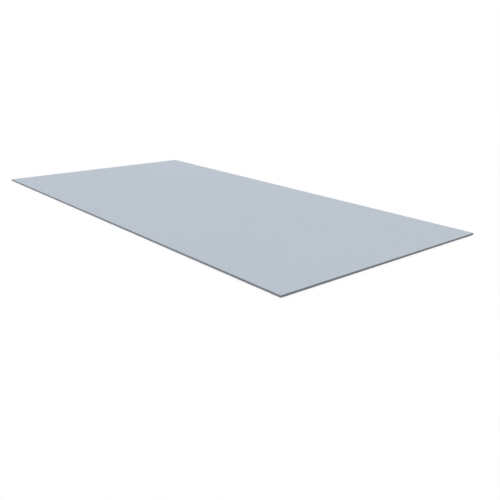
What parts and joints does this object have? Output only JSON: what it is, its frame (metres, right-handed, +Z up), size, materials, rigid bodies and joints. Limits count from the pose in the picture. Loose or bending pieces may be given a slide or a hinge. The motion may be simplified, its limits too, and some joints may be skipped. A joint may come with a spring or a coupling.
{
  "type": "fiber cement board",
  "caption": "Flat rectangular fiber cement sheet with a smooth pale grey face, square sawn sides and lightly eased edges, for lining, cladding and underlay.",
  "frame": {"origin": "middle of the back face, on which the board lies", "axes": "+X along the length, +Y across the width, +Z up through the thickness from the back face to the smooth face"},
  "size_m": [2.44, 1.22, 0.009],
  "materials": {
    "fiber_cement": "matte"
  },
  "bodies": {
    "root": {"fiber_cement_board": "fiber_cement"}
  },
  "joints": []
}
